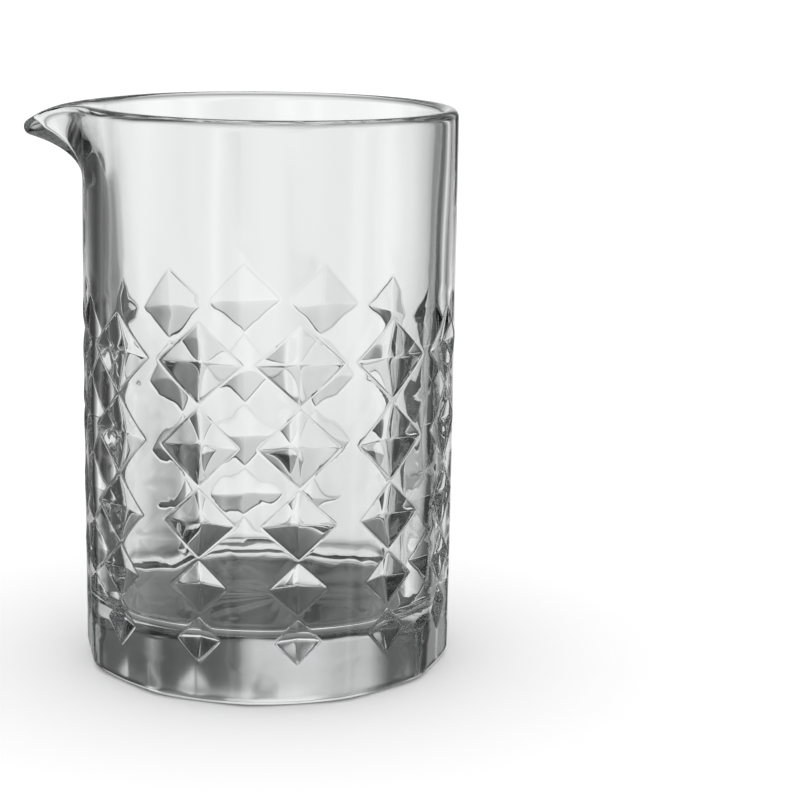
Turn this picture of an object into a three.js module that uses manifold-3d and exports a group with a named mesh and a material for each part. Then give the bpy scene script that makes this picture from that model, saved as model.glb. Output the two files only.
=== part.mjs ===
// A stirring glass for mixing drinks: one piece of pressed clear glass, open at the top, with a
// pulled pouring spout, a thick solid base, twelve shallow flats up its side and a band of sunk
// diamonds. Millimetres, +Z up. The origin is the middle of the flat underside, and the spout
// points along -X.

import * as THREE from 'three';
import { mergeVertices } from 'three/addons/utils/BufferGeometryUtils.js';
import Module from 'manifold-3d';

// ---------------------------------------------------------------- driving dimensions
const height = 135; // table to the top of the rim
const rimDiameter = 90; // outside, on the straight upper wall
const baseDiameter = 89.6; // outside, across the rounds, just above the heel
const flatDepth = 1; // how deep the flats are pressed in just above the heel
const taperTop = 60; // the round wall narrows from here down to the base
const heelRadius = 2; // rounded edge between the wall and the underside

const rimWall = 4; // wall thickness at the rim, where it ends in a full round
const floorThickness = 14.5; // solid glass under the drink
const floorWall = 6; // wall thickness behind a flat, level with the floor
const cavityCornerRadius = 4.5; // fillet between the inside wall and the floor

const columnCount = 12; // columns of diamonds, and flats behind them
const patternTurn = 9; // degrees from +X to the middle of the first column
const flatTop = 92; // the flats have run out into the round wall here
const patternTop = 89.4; // upper tip of the top row of diamonds
const tipGap = 0.6; // plain glass between the tips of two rows
const diamondRows = [
  // From the top down. A width is the share of one column's arc that the diamond takes, and a
  // slope is the degrees that its upper and lower faces lean into the wall.
  { halfHeight: 9.4, widthShare: 0.84, slope: 12.5 },
  { halfHeight: 9.2, widthShare: 0.8, slope: 12.5 },
  { halfHeight: 8.1, widthShare: 0.74, slope: 13.5 },
  { halfHeight: 6.3, widthShare: 0.58, slope: 15.5 },
  { halfHeight: 5.7, widthShare: 0.45, slope: 15.5 },
];

const spoutReach = 13.9; // how far the lip is pulled out past the round of the rim
const spoutDepth = 20; // the pull starts this far below the rim
const spoutDroop = 3.9; // how far the tip hangs below the rim
const spoutSpread = 6.3; // degrees in which the spout's plan falls to about a third
const spoutNose = 1.6; // degrees of rounding at the very tip
const spoutThinning = 0.25; // share of its thickness the wall loses where it is pulled out
const shoulderRise = 0.1; // the rim lifts this much on each side of the spout
const shoulderAngle = 15; // degrees from the spout to the top of each shoulder
const shoulderSpread = 11; // degrees in which a shoulder dies out

// How finely curves are cut into flats.
const aroundSteps = 84;
const crowding = 0.6; // share by which the steps close up at the spout and open out behind
const arcSteps = 6;
const taperSteps = 3;
const spoutSteps = 7;

// ---------------------------------------------------------------- values worked out from them
const rimRadius = rimDiameter / 2;
const baseRadius = baseDiameter / 2;
const flatDistanceAtBase = baseRadius - flatDepth;
const flatLean = Math.atan((rimRadius - flatDistanceAtBase) / flatTop);
const roundHeight = height - rimWall / 2; // centre of the rim's round
const spoutStart = height - spoutDepth;
const columnAngle = (2 * Math.PI) / columnCount;
const columnArc = rimRadius * columnAngle;

// ---------------------------------------------------------------- the plain shape of the wall
// Outside radius of the round wall at a height above the table.
function outsideRadius(z) {
  if (z >= taperTop) {
    return rimRadius;
  }
  const down = (taperTop - z) / taperTop;
  return rimRadius - (rimRadius - baseRadius) * down ** 1.5;
}

// Distance from the axis to a flat, measured square to the flat.
function flatDistance(z) {
  return flatDistanceAtBase + z * Math.tan(flatLean);
}

// Radius of the finished outside wall, an angle away from the middle of a flat.
function wallRadius(z, offAxis) {
  return Math.min(outsideRadius(z), flatDistance(z) / Math.cos(offAxis));
}

// Inside radius at a height, before the corner fillet: the wall thins evenly from floor to rim.
function insideRadius(z) {
  const up = (z - floorThickness) / (roundHeight - floorThickness);
  return wallRadius(z, 0) - THREE.MathUtils.lerp(floorWall, rimWall, up);
}

// Points of an arc about a centre, from one angle to another, both ends included.
function arc(centreRadius, centreZ, radius, from, to) {
  const points = [];
  for (let i = 0; i <= arcSteps; i += 1) {
    const angle = THREE.MathUtils.lerp(from, to, i / arcSteps);
    points.push(new THREE.Vector2(
      centreRadius + radius * Math.cos(angle),
      centreZ + radius * Math.sin(angle),
    ));
  }
  return points;
}

// Half section of the glass: out along the underside, up the outside, round the rim and down the
// inside to the middle of the floor.
function glassProfile() {
  const outside = [];
  const inside = [];
  for (let i = 1; i <= taperSteps; i += 1) {
    const z = taperTop * i / taperSteps;
    outside.push(new THREE.Vector2(outsideRadius(z), z));
  }
  inside.push(new THREE.Vector2(insideRadius(flatTop), flatTop));
  for (let i = 0; i < spoutSteps; i += 1) {
    const z = THREE.MathUtils.lerp(spoutStart, roundHeight, i / spoutSteps);
    outside.push(new THREE.Vector2(rimRadius, z));
    inside.unshift(new THREE.Vector2(insideRadius(z), z));
  }
  const heel = arc(baseRadius - heelRadius, heelRadius, heelRadius, -Math.PI / 2, 0);
  const rim = arc(rimRadius - rimWall / 2, roundHeight, rimWall / 2, 0, Math.PI);
  const cornerZ = floorThickness + cavityCornerRadius;
  const cornerCentre = insideRadius(cornerZ) - cavityCornerRadius;
  const corner = arc(cornerCentre, cornerZ, cavityCornerRadius, 0, -Math.PI / 2);
  return [
    new THREE.Vector2(0, 0),
    ...heel,
    ...outside,
    ...rim,
    ...inside,
    ...corner,
    new THREE.Vector2(0, floorThickness),
  ];
}

// ---------------------------------------------------------------- the pulled spout
// Plan of the pull at an angle from the spout: 1 at the tip, falling away on both sides.
function pullAt(angle) {
  const spread = THREE.MathUtils.degToRad(spoutSpread);
  const nose = THREE.MathUtils.degToRad(spoutNose);
  const reach = Math.hypot(angle, nose);
  const pull = Math.exp((nose - reach) / spread);
  return { pull, slope: -pull * angle / (reach * spread) };
}

// The rim's lift on the shoulders, at an angle from the spout.
function shoulderAt(angle) {
  const away = Math.abs(THREE.MathUtils.radToDeg(angle)) - shoulderAngle;
  return Math.exp(-((away / shoulderSpread) ** 2));
}

// Moves one point of the wall, given by its radius, height and angle from the spout, so that the
// wall turns outward there, thinned below the lip where it was stretched.
function pullSpout(radius, z, angle) {
  const wallZ = Math.min(z, roundHeight);
  const up = (wallZ - spoutStart) / (roundHeight - spoutStart);
  if (up <= 0) {
    return { radius, z };
  }
  const { pull, slope } = pullAt(angle);
  const middle = (outsideRadius(wallZ) + insideRadius(wallZ)) / 2;
  const outward = spoutReach * pull * up ** 2;
  const lift = (shoulderRise * shoulderAt(angle) * (1 - pull) - spoutDroop * pull ** 2) * up ** 2;
  const lean = Math.atan2(2 * outward, up * (roundHeight - spoutStart) + 2 * lift);
  const flank = spoutReach * slope * up ** 2 / (middle + outward);
  const thinned = 1 - spoutThinning * pull * Math.sin(Math.PI * up);
  const across = (radius - middle) * Math.hypot(1, flank * Math.cos(lean)) * thinned;
  const along = z - wallZ;
  return {
    radius: middle + outward + across * Math.cos(lean) + along * Math.sin(lean),
    z: wallZ + lift - across * Math.sin(lean) + along * Math.cos(lean),
  };
}

// ---------------------------------------------------------------- solids
const wasm = await Module();
wasm.setup();

// Turns a closed three.js geometry into a solid that can be cut and joined.
function toSolid(geometry) {
  const bare = geometry.clone();
  bare.deleteAttribute('normal');
  bare.deleteAttribute('uv');
  const merged = mergeVertices(bare, 1e-4);
  const index = merged.getIndex().array;
  const triangles = [];
  for (let i = 0; i < index.length; i += 3) {
    const [a, b, c] = [index[i], index[i + 1], index[i + 2]];
    if (a !== b && b !== c && c !== a) {
      triangles.push(a, b, c);
    }
  }
  return new wasm.Manifold(new wasm.Mesh({
    numProp: 3,
    vertProperties: new Float32Array(merged.getAttribute('position').array),
    triVerts: new Uint32Array(triangles),
  }));
}

function toGeometry(solid) {
  const mesh = solid.getMesh();
  const geometry = new THREE.BufferGeometry();
  geometry.setAttribute('position', new THREE.BufferAttribute(mesh.vertProperties, 3));
  geometry.setIndex(new THREE.BufferAttribute(mesh.triVerts, 1));
  return geometry;
}

// A profile turned about the +Z axis.
function turned(profile, steps, turn = 0) {
  const geometry = new THREE.LatheGeometry(profile, steps, turn);
  geometry.rotateX(Math.PI / 2);
  return geometry;
}

// The glass before its flats and diamonds are pressed in.
function blankGeometry() {
  const geometry = turned(glassProfile(), aroundSteps);
  const position = geometry.getAttribute('position');
  for (let i = 0; i < position.count; i += 1) {
    const radius = Math.hypot(position.getX(i), position.getY(i));
    const evenAngle = radius > 0 ? Math.atan2(position.getY(i), -position.getX(i)) : 0;
    const angle = evenAngle - crowding * Math.sin(evenAngle);
    const moved = pullSpout(radius, position.getZ(i), angle);
    position.setXYZ(i, -moved.radius * Math.cos(angle), moved.radius * Math.sin(angle), moved.z);
  }
  return geometry;
}

// A solid as wide as the flats from the underside up, and wider than everything above them.
function flatsGeometry() {
  const toCorner = 1 / Math.cos(columnAngle / 2);
  const clear = rimRadius + spoutReach + rimWall;
  const below = -heelRadius;
  const profile = [
    new THREE.Vector2(0, below),
    new THREE.Vector2(flatDistance(below) * toCorner, below),
    new THREE.Vector2(flatDistance(flatTop) * toCorner, flatTop),
    new THREE.Vector2(clear, flatTop + rimWall),
    new THREE.Vector2(clear, height + rimWall),
    new THREE.Vector2(0, height + rimWall),
  ];
  const firstCorner = THREE.MathUtils.degToRad(patternTurn) + Math.PI / 2 + columnAngle / 2;
  return turned(profile, columnCount, firstCorner);
}

// The four-sided point that presses one diamond into a flat.
function diamondGeometry(row, centreZ, columnTurn) {
  const proud = 1; // how far the press stands outside the glass
  const halfWidth = row.widthShare * columnArc / 2;
  const depth = row.halfHeight * Math.tan(THREE.MathUtils.degToRad(row.slope));
  const offAxis = halfWidth / rimRadius;
  const seat = wallRadius(centreZ, 0);
  const upperTip = wallRadius(centreZ + row.halfHeight, 0);
  const lowerTip = wallRadius(centreZ - row.halfHeight, 0);
  const lean = Math.atan((upperTip - lowerTip) / (2 * row.halfHeight));
  const fallAway = seat - wallRadius(centreZ, offAxis) * Math.cos(offAxis);
  const grow = (depth + proud) / depth;
  const growAcross = (depth + proud) / (depth - fallAway);
  const press = new THREE.ConeGeometry(1, 1, 4);
  press.scale(halfWidth * growAcross, depth + proud, row.halfHeight * grow);

  const outward = new THREE.Vector3(Math.cos(columnTurn), Math.sin(columnTurn), 0);
  const sideways = new THREE.Vector3(-Math.sin(columnTurn), Math.cos(columnTurn), 0);
  const inward = outward.clone().multiplyScalar(-Math.cos(lean));
  inward.z = Math.sin(lean);
  const upTheWall = sideways.clone().cross(inward);
  const middle = outward.clone().multiplyScalar(seat);
  middle.z = centreZ;
  middle.addScaledVector(inward, (depth - proud) / 2);
  press.applyMatrix4(new THREE.Matrix4().makeBasis(sideways, inward, upTheWall).setPosition(middle));
  return press;
}

function glassSolid() {
  let glass = toSolid(blankGeometry()).intersect(toSolid(flatsGeometry()));
  let tipZ = patternTop;
  for (const row of diamondRows) {
    const centreZ = tipZ - row.halfHeight;
    for (let column = 0; column < columnCount; column += 1) {
      const columnTurn = THREE.MathUtils.degToRad(patternTurn) + column * columnAngle;
      glass = glass.subtract(toSolid(diamondGeometry(row, centreZ, columnTurn)));
    }
    tipZ = centreZ - row.halfHeight - tipGap;
  }
  return glass;
}

// ---------------------------------------------------------------- the part
const clearGlass = new THREE.MeshStandardMaterial({
  color: 0xe9eeee,
  roughness: 0.04,
  metalness: 0,
  transparent: true,
  opacity: 0.35,
});

const body = new THREE.Mesh(toGeometry(glassSolid()), clearGlass);
body.name = 'glass_body';

const mixingGlass = new THREE.Group();
mixingGlass.name = 'mixing_glass';
mixingGlass.add(body);

export default mixingGlass;
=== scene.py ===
"""The mixing glass: its fine surface, its clear glass, and a plain light studio round it.

Lengths are in millimetres until a mesh is made, because that is how the glass is described.
"""

import math

import bpy
import numpy as np
from mathutils import Matrix, Vector


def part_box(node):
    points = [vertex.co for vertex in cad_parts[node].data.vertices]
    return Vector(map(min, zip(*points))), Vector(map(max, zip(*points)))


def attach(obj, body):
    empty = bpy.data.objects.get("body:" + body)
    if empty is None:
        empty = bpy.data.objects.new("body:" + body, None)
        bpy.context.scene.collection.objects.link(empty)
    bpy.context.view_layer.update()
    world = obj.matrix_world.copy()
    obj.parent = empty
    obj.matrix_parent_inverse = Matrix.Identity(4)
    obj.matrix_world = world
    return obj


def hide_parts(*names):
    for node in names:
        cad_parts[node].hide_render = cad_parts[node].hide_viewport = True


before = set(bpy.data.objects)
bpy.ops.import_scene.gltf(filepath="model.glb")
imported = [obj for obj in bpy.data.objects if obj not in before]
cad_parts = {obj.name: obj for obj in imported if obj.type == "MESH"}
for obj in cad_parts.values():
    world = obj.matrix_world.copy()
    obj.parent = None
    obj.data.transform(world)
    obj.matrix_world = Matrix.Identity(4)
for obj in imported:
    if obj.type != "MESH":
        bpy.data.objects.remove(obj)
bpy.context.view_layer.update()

MM = 0.001

# ------------------------------------------------------------------ sizes
# The frame gives the overall sizes, and the rest are the glass's own.
SHOULDER_STANDS = 0.1  # the rim's highest points, each side of the spout, above its round
low, high = (np.array(corner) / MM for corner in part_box("glass_body"))
HEIGHT = high[2] - SHOULDER_STANDS
RIM_RADIUS = high[0]
SPOUT_REACH = -low[0] - high[0]

BASE_RADIUS = 44.8
FLAT_DEPTH = 1.0
FLAT_TOP = 92.0
TAPER_TOP = 60.0
HEEL_HEIGHT = 2.4
FOOT_RADIUS = 42.3
RIM_WALL = 4.0
FLOOR = 14.6
FLOOR_WALL = 6.0
CORNER_RADIUS = 4.5
FLOOR_BOWL = 1.0
TAPER_POWER = 1.5

COLUMNS = 12
COLUMN_ANGLE = 2 * math.pi / COLUMNS
PATTERN_TURN = math.radians(9)
PATTERN_TOP = 89.4
TIP_GAP = 0.6
# Each row's half height, share of its column's width, and slope in degrees, from the top down.
DIAMOND_ROWS = [
    (9.4, 0.88, 12.5),
    (9.2, 0.82, 12.5),
    (8.1, 0.75, 13.5),
    (6.3, 0.6, 15.5),
    (5.7, 0.45, 15.5),
]

SPOUT_ANGLE = math.pi
SPOUT_DEPTH = 20.0
SPOUT_DROOP = 3.9
SPOUT_SPREAD = math.radians(6.3)
SPOUT_NOSE = math.radians(1.6)
SPOUT_THINNING = 0.25
SHOULDER_RISE = 0.1
SHOULDER_ANGLE = math.radians(15)
SHOULDER_SPREAD = math.radians(11)

# Fire polish and the mould leave every edge soft.
FLAT_EDGE_BLEND = 0.4
DIAMOND_EDGE_BLEND = 0.1
VALLEY_ROUND = 0.28
# The press leaves a slight bead round each diamond, which dies out within this depth.
EDGE_BEAD = 0.1
EDGE_BEAD_SPREAD = 0.07
# Slow ripples in the glass: outside above the pattern, inside, and in the cup's floor.
OUTSIDE_RIPPLE = 0.012
INSIDE_RIPPLE = 0.03
FLOOR_RIPPLE = 0.1
RIPPLE_STARTS = 10.0
OUTSIDE_RIPPLE_STARTS = 8.0

ROUND_CENTRE = HEIGHT - RIM_WALL / 2
SPOUT_START = HEIGHT - SPOUT_DEPTH


# ------------------------------------------------------------------ the shape of the wall
def soft_min(a, b, blend):
    """The smaller of two lengths, with the step between them rounded over a blend length."""
    near = np.clip(blend - np.abs(a - b), 0, None) / blend
    return np.minimum(a, b) - near**2 * blend / 4


def outside_radius(z):
    down = np.clip((TAPER_TOP - z) / TAPER_TOP, 0, None)
    return RIM_RADIUS - (RIM_RADIUS - BASE_RADIUS) * down**TAPER_POWER


def flat_distance(z):
    base = BASE_RADIUS - FLAT_DEPTH
    return base + (RIM_RADIUS - base) * z / FLAT_TOP


def off_column(angle):
    """Angle from the middle of the nearest column of diamonds, either way."""
    turn = np.asarray(angle) - PATTERN_TURN + COLUMN_ANGLE / 2
    return np.mod(turn, COLUMN_ANGLE) - COLUMN_ANGLE / 2


def wall_radius(z, angle):
    """Outside wall with its flats, before the diamonds."""
    flat = flat_distance(z) / np.cos(off_column(angle))
    return soft_min(outside_radius(z), flat, FLAT_EDGE_BLEND)


def sharp_wall(z, off):
    """The same wall with its edges left sharp."""
    return np.minimum(outside_radius(z), flat_distance(z) / np.cos(off))


class Diamond:
    """One row's diamond: four faces that sink from its straight edges to its middle."""

    def __init__(self, middle, half_height, share, slope):
        self.z = middle
        self.half_height = half_height
        self.half_width = share * RIM_RADIUS * COLUMN_ANGLE / 2
        self.depth = half_height * math.tan(math.radians(slope))

    def sunk(self, z, off):
        """Depth below the wall: least at the edges, where it is nothing, and negative outside."""
        up = np.sqrt((z - self.z) ** 2 + VALLEY_ROUND**2)
        across = np.sqrt((off * RIM_RADIUS) ** 2 + VALLEY_ROUND**2)
        return self.depth * (1 - up / self.half_height - across / self.half_width)


def diamonds():
    made = []
    tip = PATTERN_TOP
    for half_height, share, slope in DIAMOND_ROWS:
        made.append(Diamond(tip - half_height, half_height, share, slope))
        tip -= 2 * half_height + TIP_GAP
    return made


ROWS = diamonds()


def pressed_radius(z, angle):
    """The outside wall with its flats and diamonds."""
    radius = wall_radius(z, angle)
    off = off_column(angle)
    sunk = np.zeros(np.broadcast(z, angle).shape)
    bead = np.zeros(np.broadcast(z, angle).shape)
    for row in ROWS:
        depth = row.sunk(z, off)
        sunk = np.maximum(sunk, -soft_min(-depth, 0, DIAMOND_EDGE_BLEND))
        bead = np.maximum(bead, np.exp(-((depth / EDGE_BEAD_SPREAD) ** 2)))
    return radius - sunk + EDGE_BEAD * bead


def waviness(z, angle, size):
    """Slow ripples that pressing leaves in the glass."""
    return size * (
        np.sin(3 * angle + 0.05 * z)
        + 0.7 * np.sin(7 * angle - 0.09 * z + 1.3)
        + 0.5 * np.sin(13 * angle + 0.13 * z + 0.4)
    )


def plain_inside(z):
    """Inside radius above the corner: the wall thins evenly from floor to rim."""
    up = (z - FLOOR) / (ROUND_CENTRE - FLOOR)
    return sharp_wall(z, 0) - (FLOOR_WALL + (RIM_WALL - FLOOR_WALL) * up)


# ------------------------------------------------------------------ the pulled spout
def from_spout(angle):
    """Angle from the spout, either way."""
    return np.mod(np.asarray(angle) - SPOUT_ANGLE + math.pi, 2 * math.pi) - math.pi


def pull_spout(radius, z, angle):
    """Turns the top of the wall outward at the spout, thinned where it was stretched."""
    off = from_spout(angle)
    reach = np.hypot(off, SPOUT_NOSE)
    pull = np.exp((SPOUT_NOSE - reach) / SPOUT_SPREAD)
    slope = -pull * off / (reach * SPOUT_SPREAD)
    shoulder = np.exp(-(((np.abs(off) - SHOULDER_ANGLE) / SHOULDER_SPREAD) ** 2))
    wall_z = np.minimum(z, ROUND_CENTRE)
    span = ROUND_CENTRE - SPOUT_START
    up = np.clip((wall_z - SPOUT_START) / span, 0, None)
    middle = (outside_radius(wall_z) + plain_inside(wall_z)) / 2
    outward = SPOUT_REACH * pull * up**2
    lift = (SHOULDER_RISE * shoulder * (1 - pull) - SPOUT_DROOP * pull**2) * up**2
    lean = np.where(up > 0, np.arctan2(2 * outward, up * span + 2 * lift), 0)
    flank = SPOUT_REACH * slope * up**2 / (middle + outward)
    thinned = 1 - SPOUT_THINNING * pull * np.sin(math.pi * up)
    across = (radius - middle) * np.hypot(1, flank * np.cos(lean)) * thinned
    along = z - wall_z
    new_radius = middle + outward + across * np.cos(lean) + along * np.sin(lean)
    new_z = wall_z + lift - across * np.sin(lean) + along * np.cos(lean)
    return np.where(up > 0, new_radius, radius), np.where(up > 0, new_z, z)


# ------------------------------------------------------------------ mesh building
WELD = 2e-6  # metres; points nearer than this are one point

# Steps across one half of a column and up one half of a diamond, closer at the creases.
HALF_STEPS = 12
SIDE_STEPS = 9
CREASE_CROWDING = 1.5
INNER_STEPS = np.array([0, 0.1, 0.3, 0.5, 0.7, 0.83, 0.9, 0.93, 0.95, 0.965, 0.98, 0.99, 1])
OUTER_STEPS = np.array([0, 0.012, 0.025, 0.04, 0.06, 0.09, 0.15, 0.3, 0.6, 1])
EDGE_INSIDE_CELL = 0.995
CELL_MARGIN = 1.6

# Steps up the plain outside, over the rim, down the inside, and in and out along the floor.
SPOUT_CROWDING = 0.55
OUTSIDE_STEPS, OUTSIDE_CROWDING = 44, 0.85
RIM_STEPS = 15
INSIDE_STEPS, INSIDE_CROWDING = 70, 1.1
CORNER_STEPS = 12
FLOOR_STEPS = 30
UNDERSIDE_STEPS = 16
HEEL_STEPS = 12
FOOT_STEPS = 10


def place(radius, z, angle):
    """Points at a radius, a height and an angle, as x, y and z."""
    radius, z, angle = np.broadcast_arrays(radius, z, angle)
    return np.stack([radius * np.cos(angle), radius * np.sin(angle), z], axis=-1)


class MeshParts:
    """Collects grids of points as quads; points that meet are welded when it is built."""

    def __init__(self):
        self.points = []
        self.faces = []
        self.count = 0

    def grid(self, points):
        """A grid of points, rows by columns, with its faces to the right of each row."""
        rows, columns = points.shape[:2]
        index = self.count + np.arange(rows * columns).reshape(rows, columns)
        quads = np.stack(
            [index[:-1, :-1], index[:-1, 1:], index[1:, 1:], index[1:, :-1]], axis=-1
        )
        self.points.append(points.reshape(-1, 3))
        self.faces.append(quads.reshape(-1, 4))
        self.count += rows * columns

    def build(self, name):
        points = np.concatenate(self.points) * MM
        faces = np.concatenate(self.faces)
        key, index = np.unique(np.round(points / WELD).astype(np.int64), axis=0, return_inverse=True)
        index = index.reshape(-1)
        welded = np.zeros((len(key), 3))
        welded[index] = points
        faces = index[faces]
        clean = []
        for face in faces.tolist():
            corners = [c for i, c in enumerate(face) if c != face[i - 1]]
            if len(set(corners)) > 2:
                clean.append(corners)
        mesh = bpy.data.meshes.new(name)
        mesh.from_pydata(welded.tolist(), [], clean)
        mesh.update()
        for polygon in mesh.polygons:
            polygon.use_smooth = True
        thing = bpy.data.objects.new(name, mesh)
        bpy.context.scene.collection.objects.link(thing)
        return thing


def half_angles():
    """Angles of the grid lines from a column's middle to its border."""
    return COLUMN_ANGLE / 2 * (np.arange(HALF_STEPS + 1) / HALF_STEPS) ** CREASE_CROWDING


def crease_heights(reach):
    """Heights of the grid lines from a diamond's middle to the border of its cell."""
    return reach * (np.arange(SIDE_STEPS + 1) / SIDE_STEPS) ** CREASE_CROWDING


def diamond_quarter(parts, row, column, reach, right, up):
    """One quarter of a diamond's cell: rays from its middle to the border of the cell."""
    across = half_angles()
    side = crease_heights(reach)[::-1]
    off = np.concatenate([across, np.full(SIDE_STEPS, across[-1])])
    z_off = np.concatenate([np.full(HALF_STEPS + 1, reach), side[1:]]) * up
    reached = off * RIM_RADIUS / row.half_width + np.abs(z_off) / row.half_height
    edge = np.minimum(1 / reached, EDGE_INSIDE_CELL)
    inner = edge[None, :] * INNER_STEPS[:, None]
    outer = edge[None, :] + (1 - edge[None, :]) * OUTER_STEPS[1:, None]
    share = np.concatenate([inner, outer])
    z = row.z + z_off * share
    angle = PATTERN_TURN + column * COLUMN_ANGLE + off * share * right
    points = place(pressed_radius(z, angle), z, angle)
    if right * up < 0:
        points = points[::-1]
    parts.grid(points)


def cell_borders():
    """Heights that part the rows of diamonds, from the top down."""
    borders = [PATTERN_TOP + CELL_MARGIN]
    for upper, lower in zip(ROWS, ROWS[1:]):
        borders.append((upper.z - upper.half_height + lower.z + lower.half_height) / 2)
    borders.append(ROWS[-1].z - ROWS[-1].half_height - CELL_MARGIN)
    return borders


def crease_angles():
    """Angles of the grid lines through the diamonds, once round."""
    half = half_angles()
    one = np.concatenate([-half[:0:-1], half[:-1]])
    turns = PATTERN_TURN + np.arange(COLUMNS)[:, None] * COLUMN_ANGLE
    return (turns + one[None, :]).reshape(-1)


def spout_angles():
    """As many angles, close together at the spout and wide apart behind it."""
    count = COLUMNS * 2 * HALF_STEPS
    even = PATTERN_TURN - COLUMN_ANGLE / 2 + 2 * math.pi * np.arange(count) / count
    return even - SPOUT_CROWDING * np.sin(even - SPOUT_ANGLE)


def smooth_step(low_end, high_end, value):
    """0 up to one value and 1 from another, with a smooth step between them."""
    t = np.clip((value - low_end) / (high_end - low_end), 0, 1)
    return t * t * (3 - 2 * t)


def closed(points):
    """A ring of points that ends where it began."""
    return np.concatenate([points, points[:1]])


def ring(radius, z, angles):
    """A closed ring, moved with the spout where it reaches the spout."""
    radius, new_z = pull_spout(np.broadcast_to(radius, angles.shape), z, angles)
    return closed(place(radius, new_z, angles))


def upper_rings(top_border):
    """Rings from the top of the pattern, over the rim and down to the middle of the floor."""
    rings = []
    creases, spout = crease_angles(), spout_angles()
    climb = np.linspace(0, 1, OUTSIDE_STEPS) ** OUTSIDE_CROWDING
    for z in top_border + (ROUND_CENTRE - top_border) * climb:
        turned = smooth_step(top_border, SPOUT_START + 2, z)
        angles = creases + (spout - creases) * turned
        radius = pressed_radius(z, angles) if z < FLAT_TOP + 2 else outside_radius(z)
        above_flats = smooth_step(FLAT_TOP, FLAT_TOP + OUTSIDE_RIPPLE_STARTS, z)
        radius = radius + waviness(z, angles, OUTSIDE_RIPPLE) * above_flats
        rings.append(ring(radius, z, angles))
    for turn in np.linspace(0, math.pi, RIM_STEPS)[1:-1]:
        across = RIM_WALL / 2 * math.cos(turn)
        z = ROUND_CENTRE + RIM_WALL / 2 * math.sin(turn)
        rings.append(ring(RIM_RADIUS - RIM_WALL / 2 + across, z, spout))
    corner_top = FLOOR + CORNER_RADIUS
    fall = np.linspace(0, 1, INSIDE_STEPS) ** INSIDE_CROWDING
    for z in ROUND_CENTRE - (ROUND_CENTRE - corner_top) * fall:
        above_corner = smooth_step(corner_top, corner_top + RIPPLE_STARTS, z)
        ripple = waviness(z, spout + 1, INSIDE_RIPPLE) * above_corner
        rings.append(ring(plain_inside(z) + ripple, z, spout))
    corner = plain_inside(corner_top) - CORNER_RADIUS
    for turn in np.linspace(0, math.pi / 2, CORNER_STEPS)[1:-1]:
        z = corner_top - CORNER_RADIUS * math.sin(turn)
        rings.append(ring(corner + CORNER_RADIUS * math.cos(turn), z, spout))
    for share in np.linspace(1, 0, FLOOR_STEPS):
        uneven = waviness(25 * share, spout, FLOOR_RIPPLE) * share * (1 - share) * 4
        sunk = FLOOR_BOWL * (1 - share**2)
        rings.append(ring(corner * share, FLOOR - sunk + uneven, spout))
    return np.array(rings)


def lower_rings(bottom_border):
    """Rings from the middle of the underside out to the heel and up to the pattern."""
    angles = crease_angles()
    rings = []
    for share in np.linspace(0, 1, UNDERSIDE_STEPS):
        rings.append(closed(place(FOOT_RADIUS * share, 0.0, angles)))
    for turn in np.linspace(0, math.pi / 2, HEEL_STEPS)[1:]:
        z = HEEL_HEIGHT * (1 - math.cos(turn))
        radius = FOOT_RADIUS + (wall_radius(z, angles) - FOOT_RADIUS) * math.sin(turn)
        rings.append(closed(place(radius, z, angles)))
    for z in np.linspace(HEEL_HEIGHT, bottom_border, FOOT_STEPS)[1:]:
        rings.append(closed(place(pressed_radius(z, angles), z, angles)))
    return np.array(rings)


def glass_mesh():
    """The whole surface of the glass, closed."""
    parts = MeshParts()
    borders = cell_borders()
    for row, top, bottom in zip(ROWS, borders, borders[1:]):
        for column in range(COLUMNS):
            for right in (1, -1):
                diamond_quarter(parts, row, column, top - row.z, right, 1)
                diamond_quarter(parts, row, column, row.z - bottom, right, -1)
    parts.grid(upper_rings(borders[0]))
    parts.grid(lower_rings(borders[-1]))
    return parts.build("pressed_glass")


# ------------------------------------------------------------------ materials
INDEX = 1.52
BODY_COLOUR = (0.985, 0.99, 0.99, 1)
DEPTH_COLOUR = (0.9, 0.91, 0.91, 1)
DEPTH_DENSITY = 20
WORN_HEIGHT = 2.0 * MM
WORN_ROUGHNESS = 0.12
FILM_ROUGHNESS = 0.012
FILM_SCALE = 60
ORANGE_PEEL_SCALE = 90
ORANGE_PEEL_DEPTH = 0.05 * MM
ORANGE_PEEL_STRENGTH = 0.15


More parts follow.
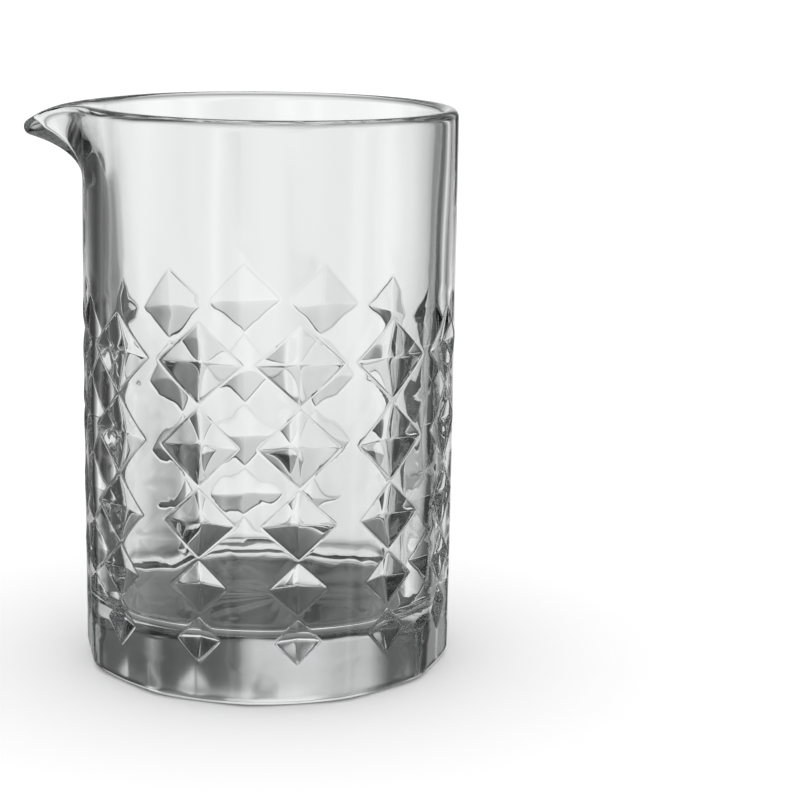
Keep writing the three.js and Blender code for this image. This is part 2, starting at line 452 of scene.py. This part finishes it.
def clear_glass():
    """Clear soda glass: plain in itself, a little worn where it stands on bars and trays."""
    material = bpy.data.materials.new("clear_pressed_glass")
    material.use_nodes = True
    tree = material.node_tree
    nodes, link = tree.nodes, tree.links.new
    glass = nodes["Principled BSDF"]
    glass.inputs["Base Color"].default_value = BODY_COLOUR
    glass.inputs["Transmission Weight"].default_value = 1.0
    glass.inputs["IOR"].default_value = INDEX

    place_at = nodes.new("ShaderNodeTexCoord")
    worn = nodes.new("ShaderNodeMapRange")
    worn.inputs["From Min"].default_value = 0.0
    worn.inputs["From Max"].default_value = WORN_HEIGHT
    worn.inputs["To Min"].default_value = WORN_ROUGHNESS
    worn.inputs["To Max"].default_value = 0.0
    height = nodes.new("ShaderNodeSeparateXYZ")
    link(place_at.outputs["Object"], height.inputs[0])
    link(height.outputs["Z"], worn.inputs["Value"])
    smear = nodes.new("ShaderNodeTexNoise")
    smear.inputs["Scale"].default_value = FILM_SCALE
    smear.inputs["Detail"].default_value = 4
    link(place_at.outputs["Object"], smear.inputs["Vector"])
    faint = nodes.new("ShaderNodeMath")
    faint.operation = "MULTIPLY_ADD"
    faint.inputs[1].default_value = FILM_ROUGHNESS
    link(smear.outputs["Fac"], faint.inputs[0])
    link(worn.outputs["Result"], faint.inputs[2])
    link(faint.outputs[0], glass.inputs["Roughness"])

    ripple = nodes.new("ShaderNodeTexNoise")
    ripple.inputs["Scale"].default_value = ORANGE_PEEL_SCALE
    ripple.inputs["Detail"].default_value = 1
    link(place_at.outputs["Object"], ripple.inputs["Vector"])
    bump = nodes.new("ShaderNodeBump")
    bump.inputs["Strength"].default_value = ORANGE_PEEL_STRENGTH
    bump.inputs["Distance"].default_value = ORANGE_PEEL_DEPTH
    link(ripple.outputs["Fac"], bump.inputs["Height"])
    link(bump.outputs[0], glass.inputs["Normal"])

    tint = nodes.new("ShaderNodeVolumeAbsorption")
    tint.inputs["Color"].default_value = DEPTH_COLOUR
    tint.inputs["Density"].default_value = DEPTH_DENSITY
    link(tint.outputs[0], nodes["Material Output"].inputs["Volume"])
    return material


# ------------------------------------------------------------------ the studio
def camera():
    """At the photograph's viewing angle: a little above the rim, looking down at the base."""
    distance, height_above = 535.9 * MM, 178.0 * MM
    aside = math.radians(-0.12)
    turn, down, roll = math.radians(3.5), math.radians(9.64), math.radians(1.02)
    data = bpy.data.cameras.new("camera")
    data.sensor_width = 36
    data.lens = 100.5
    data.shift_y = -0.12
    eye = bpy.data.objects.new("camera", data)
    bpy.context.scene.collection.objects.link(eye)
    where = Vector((distance * math.sin(aside), -distance * math.cos(aside), height_above))
    forward = Vector(
        (math.sin(turn) * math.cos(down), math.cos(turn) * math.cos(down), -math.sin(down))
    )
    right = Vector((math.cos(turn), -math.sin(turn), 0))
    up = right.cross(forward)
    tilted = Matrix.Rotation(-roll, 3, forward)
    right, up = tilted @ right, tilted @ up
    axes = Matrix((right, up, -forward)).transposed().to_4x4()
    eye.matrix_world = Matrix.Translation(where) @ axes
    bpy.context.scene.camera = eye


# What the camera sees behind the glass, and what lights the floor.
PALE = 1.02
FLOOR_LIGHT = 1.18

# How bright the studio looks to the glass, by degrees round from the middle of each bright panel:
# straight through the glass, after a reflection in it, and after a turn at its underside.
STRAIGHT = [
    (-45, 0.65), (-41, 0.45), (-37, 0.1), (-30, 0.07), (-25, 0.11), (-20, 0.3), (-16.5, 0.58),
    (-13.5, 0.86), (-10, 0.97), (-5, 1.0), (-1.7, 1.0), (-1.2, 0.92), (1.1, 0.92), (1.6, 1.0),
    (7, 1.0), (10, 0.9), (17, 0.85), (20, 0.74), (22, 0.42), (26, 0.5), (29, 0.85), (34, 1.0),
    (38, 0.6), (45, 0.65),
]
REFLECTED = [
    (-45, 0.05), (-33, 0.06), (-25, 0.12), (-18, 0.3), (-13, 0.5), (-8, 0.85), (-5, 1.0),
    (7, 1.0), (12, 0.9), (17, 0.75), (20, 0.2), (27, 0.08), (30, 0.5), (34, 1.0), (38, 0.4),
    (42, 0.08), (45, 0.05),
]
FROM_UNDERSIDE = [
    (-45, 0.06), (-41, 0.12), (-36, 0.3), (-31, 0.5), (-27, 0.68), (-24, 0.85), (-5, 0.85),
    (5, 0.72), (9, 0.45), (11, 0.16), (20, 0.12), (26, 0.05), (45, 0.06),
]
# The same by degrees above the level.
UPWARD = [
    (-90, 0.95), (-60, 0.95), (-46, 0.85), (-38, 0.5), (-31, 0.38), (-26, 0.62), (-20, 0.8),
    (-16, 0.9), (-12, 1.0), (8, 1.0), (17, 0.88), (22, 0.4), (28, 0.08), (45, 0.05), (62, 0.3),
    (90, 1.0),
]
PANEL_SPAN = 90
LEVEL_SPAN = 180
# Each panel leans, so that its lower left corner is the first to fade.
PANEL_LEAN = 0.3
LEVEL_WITHOUT_LEAN = math.radians(-8)
# Below these slopes the glass sees the pale floor in place of the panels.
PANELS_END = math.radians(-36)
FLOOR_STARTS = math.radians(-47)
# Light that leaves the base after a turn at the underside slopes about this much.
STEEP = math.radians(19.5)
STEEP_BAND = 0.03
# What is left of the light that was reflected and went in and out of the glass twice.
DEEP_SHARE = 0.33

# The floor round the glass, and the painted shade under its foot, a dim glowing disc in place of its
# shadow: its brightness in the middle and at the edge.
FLOOR_HALF = 20.0
FLOOR_GAP = 0.05 * MM
SHADE_UNDER_GLASS = 0.08
SHADE_AT_FOOT = 0.3
SHADE_POWER = 3


def ramp(tree, table, span, at):
    """Brightness from a table of degrees and levels, looked up at a place from 0 to 1."""
    made = tree.nodes.new("ShaderNodeValToRGB")
    made.color_ramp.interpolation = "EASE"
    while len(made.color_ramp.elements) < len(table):
        made.color_ramp.elements.new(0.5)
    for element, (degrees, value) in zip(made.color_ramp.elements, table):
        element.position = 0.5 + degrees / span
        element.color = (value, value, value, 1)
    tree.links.new(at, made.inputs[0])
    return made.outputs["Color"]


def feed(tree, socket, value):
    """Puts a number, a colour or another node's output into a socket."""
    if isinstance(value, (int, float, tuple)):
        socket.default_value = value
    else:
        tree.links.new(value, socket)


def math_node(tree, kind, *values):
    node = tree.nodes.new("ShaderNodeMath")
    node.operation = kind
    for socket, value in zip(node.inputs, values):
        feed(tree, socket, value)
    return node.outputs[0]


def mix_node(tree, factor, first, second, blend="MIX"):
    node = tree.nodes.new("ShaderNodeMix")
    node.data_type = "RGBA"
    node.blend_type = blend
    feed(tree, node.inputs["Factor"], factor)
    feed(tree, node.inputs["A"], first)
    feed(tree, node.inputs["B"], second)
    return node.outputs["Result"]


def panel_light(tree, azimuth, elevation, z, turned_back, in_base):
    """The panels by direction, which give way to the pale floor below them."""
    leaned = math_node(tree, "MULTIPLY_ADD", elevation, PANEL_LEAN, azimuth)
    per_panel = 2 / math.pi
    level = 0.5 - LEVEL_WITHOUT_LEAN * PANEL_LEAN * per_panel
    share = math_node(tree, "FRACT", math_node(tree, "MULTIPLY_ADD", leaned, per_panel, level))
    upright = math_node(tree, "FRACT", math_node(tree, "MULTIPLY_ADD", azimuth, per_panel, 0.5))
    straight = ramp(tree, STRAIGHT, PANEL_SPAN, share)
    reflected = ramp(tree, REFLECTED, PANEL_SPAN, share)
    from_underside = ramp(tree, FROM_UNDERSIDE, PANEL_SPAN, upright)
    mirrored = mix_node(tree, in_base, reflected, from_underside)
    panels = mix_node(tree, turned_back, straight, mirrored)
    fade = 1 / (math.sin(PANELS_END) - math.sin(FLOOR_STARTS))
    above = math_node(tree, "MULTIPLY_ADD", z, fade, -math.sin(FLOOR_STARTS) * fade)
    above.node.use_clamp = True
    return mix_node(tree, above, (1, 1, 1, 1), panels)


def studio_light():
    """Bright panels all round with dark gaps between them, which draw the edges of the glass."""
    world = bpy.data.worlds.new("studio")
    bpy.context.scene.world = world
    world.use_nodes = True
    tree = world.node_tree
    nodes, link = tree.nodes, tree.links.new
    nodes.clear()
    direction = nodes.new("ShaderNodeTexCoord")
    parts = nodes.new("ShaderNodeSeparateXYZ")
    link(direction.outputs["Generated"], parts.inputs[0])
    x, y, z = parts.outputs
    azimuth = math_node(tree, "ARCTAN2", x, y)
    elevation = math_node(tree, "ARCSINE", z)

    path = nodes.new("ShaderNodeLightPath")
    turned_back = math_node(tree, "GREATER_THAN", path.outputs["Glossy Depth"], 0.5)
    sloped = math_node(tree, "ABSOLUTE", z)
    steep = math_node(tree, "COMPARE", sloped, math.sin(STEEP), STEEP_BAND)
    once = math_node(tree, "COMPARE", path.outputs["Transmission Depth"], 2, 1.5)
    in_base = math_node(tree, "MULTIPLY", math_node(tree, "MULTIPLY", steep, once), turned_back)
    panels = panel_light(tree, azimuth, elevation, z, turned_back, in_base)

    height = math_node(tree, "MULTIPLY_ADD", elevation, 1 / math.pi, 0.5)
    levels = math_node(tree, "MAXIMUM", ramp(tree, UPWARD, LEVEL_SPAN, height), in_base)
    seen = mix_node(tree, 1, panels, levels, "MULTIPLY")
    twice = math_node(tree, "GREATER_THAN", path.outputs["Transmission Depth"], 3.5)
    deep = math_node(tree, "MULTIPLY", twice, turned_back)
    lost = math_node(tree, "MULTIPLY", deep, 1 - DEEP_SHARE)
    colour = mix_node(tree, 1, seen, math_node(tree, "SUBTRACT", 1, lost), "MULTIPLY")
    for kind, value in (("Is Camera Ray", PALE), ("Is Diffuse Ray", FLOOR_LIGHT)):
        colour = mix_node(tree, path.outputs[kind], colour, (value, value, value, 1))
    light = nodes.new("ShaderNodeBackground")
    link(colour, light.inputs["Color"])
    out = nodes.new("ShaderNodeOutputWorld")
    link(light.outputs[0], out.inputs["Surface"])


def floor():
    """A wide pale floor, which the glass stands on. Light in the glass sees only its painted shade:
    a dim glowing disc under the foot, with clear floor round it.
    """
    mesh = bpy.data.meshes.new("floor")
    corners = [
        (side * FLOOR_HALF, depth * FLOOR_HALF, -FLOOR_GAP)
        for side, depth in ((-1, -1), (1, -1), (1, 1), (-1, 1))
    ]
    mesh.from_pydata(corners, [], [(0, 1, 2, 3)])
    made = bpy.data.objects.new("floor", mesh)
    bpy.context.scene.collection.objects.link(made)
    material = bpy.data.materials.new("floor")
    material.use_nodes = True
    tree = material.node_tree
    nodes, link = tree.nodes, tree.links.new
    nodes.clear()
    pale = nodes.new("ShaderNodeBsdfDiffuse")
    pale.inputs["Color"].default_value = (1, 1, 1, 1)
    clear = nodes.new("ShaderNodeBsdfTransparent")
    # Painted shade: a dim glowing disc under the foot that stands in for the glass's shadow.
    shade = nodes.new("ShaderNodeEmission")
    spot = nodes.new("ShaderNodeNewGeometry")
    flat = nodes.new("ShaderNodeVectorMath")
    flat.operation = "LENGTH"
    link(spot.outputs["Position"], flat.inputs[0])
    outward = math_node(tree, "DIVIDE", flat.outputs["Value"], FOOT_RADIUS * MM)
    rise = math_node(tree, "POWER", outward, SHADE_POWER)
    lighter = SHADE_AT_FOOT - SHADE_UNDER_GLASS
    level = math_node(tree, "MULTIPLY_ADD", rise, lighter, SHADE_UNDER_GLASS)
    link(level, shade.inputs["Strength"])
    covered = math_node(tree, "LESS_THAN", flat.outputs["Value"], FOOT_RADIUS * MM)
    through = nodes.new("ShaderNodeMixShader")
    link(covered, through.inputs[0])
    link(clear.outputs[0], through.inputs[1])
    link(shade.outputs[0], through.inputs[2])
    path = nodes.new("ShaderNodeLightPath")
    plain = math_node(tree, "MAXIMUM", path.outputs["Is Camera Ray"], path.outputs["Is Diffuse Ray"])
    choose = nodes.new("ShaderNodeMixShader")
    link(plain, choose.inputs[0])
    link(through.outputs[0], choose.inputs[1])
    link(pale.outputs[0], choose.inputs[2])
    out = nodes.new("ShaderNodeOutputMaterial")
    link(choose.outputs[0], out.inputs["Surface"])
    mesh.materials.append(material)


def picture_settings():
    scene = bpy.context.scene
    scene.view_settings.view_transform = "Standard"
    scene.cycles.max_bounces = 40
    scene.cycles.transmission_bounces = 40
    scene.cycles.glossy_bounces = 24
    scene.cycles.diffuse_bounces = 4
    scene.cycles.transparent_max_bounces = 24


# ------------------------------------------------------------------ the object
camera()
studio_light()
floor()
picture_settings()

glass = glass_mesh()
glass.data.materials.append(clear_glass())
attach(glass, "root")
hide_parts("glass_body")
